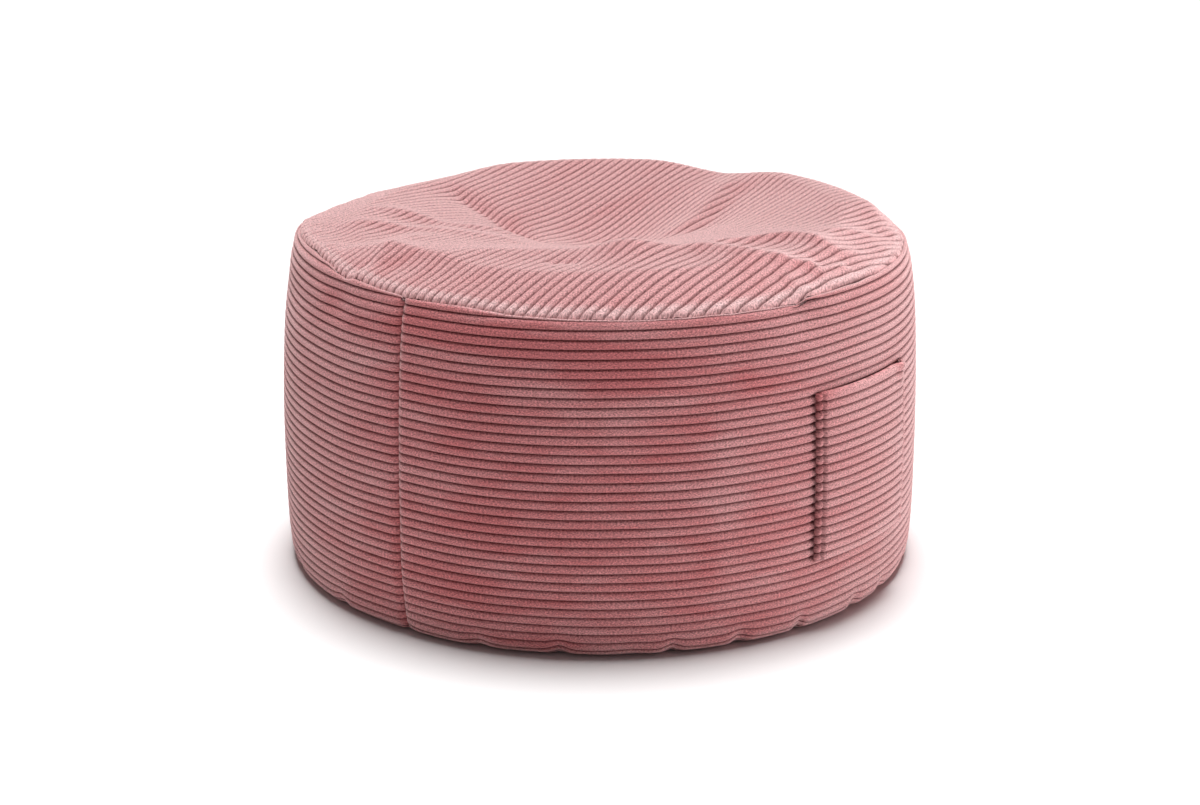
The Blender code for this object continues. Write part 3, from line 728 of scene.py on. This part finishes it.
def cloth_settings():
    """The cloth's settings, with its colours filled in where nobody has set them."""
    cloth = bpy.context.scene.pouf_cloth
    for name, code in (("pile", "#c06e70"), ("brushed_and_painted_light", "#cd9091"), ("painted_sheen", "#e2c2c1"),
                       ("groove", "#3a080c")):
        if not any(getattr(cloth, name)):
            setattr(cloth, name, linear(code))
    return cloth


def cloth_material(name="cotton corduroy", sheen_share=0.45):
    """The corduroy of that name, made when it is first asked for."""
    found = bpy.data.materials.get(name)
    return found or corduroy(cloth_settings(), name, sheen_share)


# ---------------------------------------------------------------- pieces

def band_columns():
    """Angles round the drum, close together at the upright seams and the pocket's edges.

    Returns them with the number of them that lie in the first length of band."""
    beside = np.array([0.15, 0.5, 1.1, 2.0, 3.1, 4.4, 6.5, 9.0]) * MM / DRUM_RADIUS
    even = np.linspace(beside[-1], math.pi - beside[-1], BAND_COLUMNS + 2)[1:-1]
    half = np.concatenate([beside, even, math.pi - beside[::-1]])
    fine = np.array([-4.0, -2.4, -1.0, 0.4, 1.8, 3.4, 5.0]) * MM / DRUM_RADIUS
    front = BAND_SEAM + half
    for edge in (-POCKET_HALF_ANGLE, POCKET_HALF_ANGLE):
        front = front[np.abs(front - edge) > 6.5 * MM / DRUM_RADIUS]
        front = np.concatenate([front, edge + fine])
    return np.concatenate([np.sort(front), BAND_SEAM + math.pi + half]), len(front)


class PoufSideBand(bpy.types.Operator):
    """Make the filled drum with its two ribbed lengths of band"""

    bl_idname = "pouf.side_band"
    bl_label = "Side band"

    def execute(self, context):
        cloth = cloth_settings()
        angles, half = band_columns()
        last = int((BAND_LENGTH - FOOT_STRIP) / cloth.pitch)
        places, stand = rib_places(-RIBS_OVER_RIM, last)
        phase = np.where(np.arange(len(angles)) < half, 0.0, WALE_SHIFT)
        run = (places[:, None] + phase[None, :]) * cloth.pitch
        angle = np.broadcast_to(angles, run.shape)
        stands = np.broadcast_to(stand[:, None], run.shape)
        radius, height = band_surface(angle, run, stands, cloth.depth)
        rows = [round_points(angle, radius, height)]
        # Painted shade: the ribs are drawn darker where the pocket's seams pinch the band
        stood = [stands * (1 - 0.3 * pocket_pinch(angle, height))]
        radius, height = band_surface(angle, run, 1.0, cloth.depth)
        smooth = [round_points(angle, radius, height)]
        clothed = [np.stack([angle * DRUM_RADIUS, run, np.where(phase > 0, 1.0, 0.0) + 0 * run], -1)]
        for share in (0.5, 1.0):
            end = run[-1] + (BAND_LENGTH - run[-1]) * share
            r, h = band_surface(angles, end, np.full_like(angles, 0.5), cloth.depth)
            rows.append(round_points(angles, r, h)[None])
            smooth.append(rows[-1])
            clothed.append(np.stack([angles * DRUM_RADIUS, end, 0 * end], -1)[None])
            stood.append(np.full((1, len(angles)), 0.6))
        edge_radius, _ = panel_edge(angles)
        for inward in CAP_RINGS:
            r = edge_radius * (1 - inward) + LID_LAP * (inward == 0)
            x, y = r * np.sin(angles), -r * np.cos(angles)
            z = panel_height(x, y, dives=False) - CAP_BELOW
            rows.insert(0, np.stack([x, y, z], -1)[None])
            smooth.insert(0, rows[0])
            clothed.insert(0, np.stack([angles * DRUM_RADIUS, 0 * angles, 0 * angles], -1)[None])
            stood.insert(0, np.zeros((1, len(angles))))
        points = np.vstack(rows)
        count, columns = points.shape[:2]
        flat = points.reshape(-1, 3)
        around = np.broadcast_to(angles, (count, columns))
        # Painted light and painted shade in patches of the band
        tone = soft_patches(BAND_PAINTED_LIGHT, "tone", around, points[..., 2])
        # Painted highlight along the rolled lip by the rim seam
        rolled = rim_cut(angle) + LIP_LENGTH - run
        tone[len(CAP_RINGS):len(CAP_RINGS) + len(run)] += LIP_TONE * ease(rolled / LIP_LENGTH)
        drum = make_mesh("side_band_cloth", flat, drum_faces(count, columns),
                         np.vstack(clothed).reshape(-1, 3), np.vstack(stood), tone.ravel(),
                         lay_of(np.vstack(smooth)), cloth_material())
        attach(drum, "root")
        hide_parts("side_band")
        return {"FINISHED"}


class PoufTopPanel(bpy.types.Operator):
    """Make the slack round top panel, ribs running straight across it"""

    bl_idname = "pouf.top_panel"
    bl_label = "Top panel"

    def execute(self, context):
        cloth = cloth_settings()
        last = int(TOP_REACH / cloth.pitch)
        places, stand = rib_places(-last, last)
        across = places * cloth.pitch
        half = np.sqrt(np.maximum(TOP_REACH ** 2 - across ** 2, 0))
        share = np.sin(np.linspace(-1, 1, TOP_STEPS + 1) * math.pi / 2 * TOP_CLOSER) / math.sin(
            math.pi / 2 * TOP_CLOSER)
        along = half[:, None] * share[None, :]
        side = np.broadcast_to(across[:, None], along.shape)
        cos, sin = math.cos(TOP_WALE_ANGLE), math.sin(TOP_WALE_ANGLE)
        x, y = along * cos - side * sin, along * sin + side * cos
        angle = np.arctan2(x, -y)
        edge_radius, _ = panel_edge(angle)
        out = ease((np.hypot(x, y) / TOP_REACH - FIT_FROM) / (1 - FIT_FROM))
        shrink = TOP_SHRINK + (edge_radius / TOP_REACH - TOP_SHRINK) * out
        x, y = x * shrink, y * shrink
        stands = np.broadcast_to(stand[:, None], x.shape)
        from_seam = edge_radius - np.hypot(x, y)
        near_rim = np.exp(-np.maximum(from_seam, 0) / TOP_DEPTH["reach"])
        deeper = TOP_DEPTH["middle"] + TOP_DEPTH["more"] * near_rim
        crest = panel_height(x, y)
        points = np.stack([x, y, crest - (1 - stands) * cloth.depth * deeper], -1)
        # Painted highlight on the ends of the top ribs by the rim seam, and more painted sheen in
        # the top's material
        panel = make_mesh("top_panel_cloth", points.reshape(-1, 3), grid_faces(*x.shape),
                          np.stack([along, side, np.full_like(x, TOP_CUT)], -1), stands,
                          (TOP_TONE + END_TONE * bell(from_seam - 7 * MM, 5 * MM)).ravel(),
                          lay=lay_of(np.stack([x, y, crest], -1)),
                          material=cloth_material("cotton corduroy, more painted sheen", 0.62))
        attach(panel, "root")
        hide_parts("top_panel")
        return {"FINISHED"}


class PoufBasePanel(bpy.types.Operator):
    """Make the plain round base"""

    bl_idname = "pouf.base_panel"
    bl_label = "Base panel"

    def execute(self, context):
        columns = 160
        angles = np.linspace(0, 2 * math.pi, columns, endpoint=False)
        rings = [(BASE_HIGH[0] - 0.003, BASE_HIGH[2]), (BASE_HIGH[0], BASE_HIGH[2] - 0.0008),
                 (BASE_HIGH[0], 0.0008), (BASE_HIGH[0] - 0.0015, BASE_LOW[2])]
        points = np.vstack([round_points(angles, radius, np.full_like(angles, height))
                            for radius, height in rings])
        base = make_mesh("base_panel_cloth", points, drum_faces(len(rings), columns),
                         material=base_cloth())
        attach(base, "root")
        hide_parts("base_panel")
        return {"FINISHED"}


def pocket_bow(angle, height):
    """Space between the band's crests and the back of the pocket."""
    side = np.abs(angle) / POCKET_HALF_ANGLE
    tall = (height - POCKET_LOW[2]) / (POCKET_HIGH[2] - POCKET_LOW[2])
    rise = np.clip((height - POCKET_LOW[2]) / BOW_START, 0, 1)
    opened = POUCH_BOW + (MOUTH_BOW - POUCH_BOW) * tall
    corner = MOUTH_CORNER["out"] * tall ** 12 * bell(
        angle / POCKET_HALF_ANGLE - MOUTH_CORNER["side"], MOUTH_CORNER["width"])
    return POCKET_GAP + opened * (1 - np.clip(side, 0, 1) ** 4) * np.sin(
        math.pi / 2 * rise) + corner


class PoufPocket(bpy.types.Operator):
    """Make the patch pocket with its rolled side edges"""

    bl_idname = "pouf.pocket"
    bl_label = "Pocket"

    def execute(self, context):
        cloth = cloth_settings()
        ribs = round((POCKET_HIGH[2] - POCKET_LOW[2]) / cloth.pitch)
        places, stand = rib_places(0, ribs)
        heights = POCKET_LOW[2] + places / ribs * (POCKET_HIGH[2] - POCKET_LOW[2])
        width = 2 * POCKET_HALF_ANGLE * DRUM_RADIUS
        roll = np.linspace(0, EDGE_ROLL, 9)
        middle = np.linspace(EDGE_ROLL, width - EDGE_ROLL, 84)[1:-1]
        across = np.concatenate([roll, middle, width - roll[::-1]])
        from_edge = np.minimum(across, width - across)
        side = np.broadcast_to(across, (len(heights), len(across)))
        edge = np.broadcast_to(from_edge, side.shape)
        height = np.broadcast_to(heights[:, None], side.shape)
        stands = np.broadcast_to(stand[:, None], side.shape)
        in_roll = edge < EDGE_ROLL
        round_end = np.sqrt(1 - (1 - stands ** 2) ** EDGE_ROUND)
        notch = EDGE_NOTCH * (1 - round_end) * np.clip(1 - edge / EDGE_ROLL, 0, 1)
        side = side + np.where(side < width / 2, notch, -notch)
        angle = (side / width * 2 - 1) * POCKET_HALF_ANGLE
        across_roll = np.sqrt(1 - np.clip(2 * edge / EDGE_ROLL - 1, -1, 1) ** 2)
        bead = EDGE_BEAD * across_roll * (0.04 + 0.96 * round_end ** 1.6)
        rib = cloth.depth * stands * seam_end(edge - EDGE_ROLL, 2.5 * MM)
        out = np.where(in_roll, EDGE_CLOTH + bead, FACE_CLOTH + rib) - STITCH_SINK * bell(
            edge - EDGE_ROLL, 0.9 * MM)
        back = profile_radius(height) + pocket_bow(angle, height)
        radius = back + out
        face = round_points(angle, radius, height)
        rear = round_points(angle, back, height)
        rows, columns = side.shape
        points = np.vstack([face.reshape(-1, 3), rear.reshape(-1, 3)])
        start = rows * columns
        lay = lay_of(rear).reshape(-1, 3)
        faces = list(grid_faces(rows, columns))
        faces += list(grid_faces(rows, columns, start=start, turned=True))
        for i in range(columns - 1):
            top = (rows - 1) * columns + i
            faces.append((i + start, i + 1 + start, i + 1, i))
            faces.append((top, top + 1, top + 1 + start, top + start))
        for j in range(rows - 1):
            left, right = j * columns, j * columns + columns - 1
            faces.append((left, left + columns, left + columns + start, left + start))
            faces.append((right + start, right + columns + start, right + columns, right))
        clothed = np.stack([side + 2.0, height, np.full_like(side, POCKET_CUT)], -1).reshape(-1, 3)
        # Painted shade: darker between the rounded rib ends of the edges, towards the sides of the
        # roll and along the stitches beside it
        stood = np.where(in_roll, (0.55 + 0.45 * across_roll) * round_end ** 1.1, stands)
        stood = stood * (1 - 0.5 * bell(edge - EDGE_ROLL, 0.8 * MM))
        stood[places > ribs - 0.5] = np.where(in_roll, stood, 0.9)[places > ribs - 0.5]
        stood = stood.reshape(-1)
        pocket = make_mesh("pocket_cloth", points, faces, np.vstack([clothed, clothed]),
                           np.concatenate([stood, stood]),
                           np.tile(np.where(in_roll, EDGE_TONE, FACE_TONE).ravel(), 2),
                           np.vstack([lay, lay]), cloth_material())
        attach(pocket, "root")
        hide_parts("pocket")
        return {"FINISHED"}


# ---------------------------------------------------------------- stage

def area_light(name, place, aim, size, power):
    """A soft box at a place, turned to what it is aimed at."""
    data = bpy.data.lights.new(name, "AREA")
    data.shape = "RECTANGLE"
    data.size, data.size_y = size
    data.energy = power
    lamp = bpy.data.objects.new(name, data)
    lamp.location = place
    lamp.rotation_euler = (Vector(aim) - Vector(place)).to_track_quat("-Z", "Y").to_euler()
    bpy.context.scene.collection.objects.link(lamp)
    return lamp


class PoufStageSet(bpy.types.Operator):
    """Make the pale floor, the soft lights and the camera"""

    bl_idname = "pouf.stage"
    bl_label = "Stage"

    def execute(self, context):
        stage = context.scene.pouf_stage
        corners = FLOOR_HALF * np.array([[-1, -1, 0], [1, -1, 0], [1, 1, 0], [-1, 1, 0]])
        towards = Vector((math.sin(stage.turn), -math.cos(stage.turn), 0))
        right = Vector((math.cos(stage.turn), math.sin(stage.turn), 0))
        floor = make_mesh("studio_floor", corners, [(0, 1, 2, 3)], material=floor_paint(stage.floor))

        data = bpy.data.cameras.new("studio_camera")
        data.lens = stage.lens
        data.sensor_width = 36
        data.clip_end = 60
        camera = bpy.data.objects.new("studio_camera", data)
        camera.location = towards * stage.distance + Vector((0, 0, stage.height))
        camera.rotation_euler = (math.pi / 2 - stage.tilt, 0, stage.turn)
        context.scene.collection.objects.link(camera)
        context.scene.camera = camera

        middle = Vector((0, 0, 0.2))
        sun = bpy.data.lights.new("ceiling_light", "SUN")
        sun.energy = OVERHEAD["strength"]
        sun.angle = OVERHEAD["size"]
        ceiling = bpy.data.objects.new("ceiling_light", sun)
        upwards = right * OVERHEAD["right"] + towards * OVERHEAD["before"] + Vector((0, 0, 1))
        ceiling.rotation_euler = upwards.to_track_quat("Z", "Y").to_euler()
        context.scene.collection.objects.link(ceiling)
        # The side lamps light the pouf alone, so they cast no shadow on the floor
        lit = bpy.data.collections.new("lit_from_the_sides")
        for piece in context.scene.objects:
            if piece.type == "MESH" and piece != floor:
                lit.objects.link(piece)
        for name, light in SIDE_LIGHTS.items():
            aside, before, above = light["place"]
            place = right * aside + towards * before + Vector((0, 0, above))
            lamp = area_light(name, place, middle, SIDE_LIGHT_SIZE, light["power"])
            lamp.light_linking.receiver_collection = lit
        world = bpy.data.worlds.new("studio_light")
        world.use_nodes = True
        world.node_tree.nodes["Background"].inputs["Color"].default_value = (1, 1, 1, 1)
        world.node_tree.nodes["Background"].inputs["Strength"].default_value = SKY_STRENGTH
        context.scene.world = world
        context.scene.view_settings.view_transform = "Standard"
        return {"FINISHED"}


class PoufPanel(bpy.types.Panel):
    """Lists the pouf's pieces in the sidebar"""

    bl_idname = "VIEW3D_PT_pouf"
    bl_label = "Pouf"
    bl_space_type = "VIEW_3D"
    bl_region_type = "UI"
    bl_category = "Pouf"

    def draw(self, context):
        layout = self.layout
        for maker in MAKERS:
            layout.operator(maker.bl_idname)
        for settings in (context.scene.pouf_cloth, context.scene.pouf_stage):
            box = layout.box()
            for name in settings.bl_rna.properties.keys():
                if name not in ("rna_type", "name"):
                    box.prop(settings, name)


MAKERS = (PoufSideBand, PoufTopPanel, PoufBasePanel, PoufPocket, PoufStageSet)
CLASSES = (PoufCloth, PoufStage, *MAKERS, PoufPanel)


def register():
    for each in CLASSES:
        bpy.utils.register_class(each)
    bpy.types.Scene.pouf_cloth = bpy.props.PointerProperty(type=PoufCloth)
    bpy.types.Scene.pouf_stage = bpy.props.PointerProperty(type=PoufStage)


def unregister():
    del bpy.types.Scene.pouf_cloth
    del bpy.types.Scene.pouf_stage
    for each in reversed(CLASSES):
        bpy.utils.unregister_class(each)


def main():
    register()
    bpy.ops.pouf.side_band()
    bpy.ops.pouf.top_panel()
    bpy.ops.pouf.base_panel()
    bpy.ops.pouf.pocket()
    bpy.ops.pouf.stage()


if __name__ == "__main__":
    main()
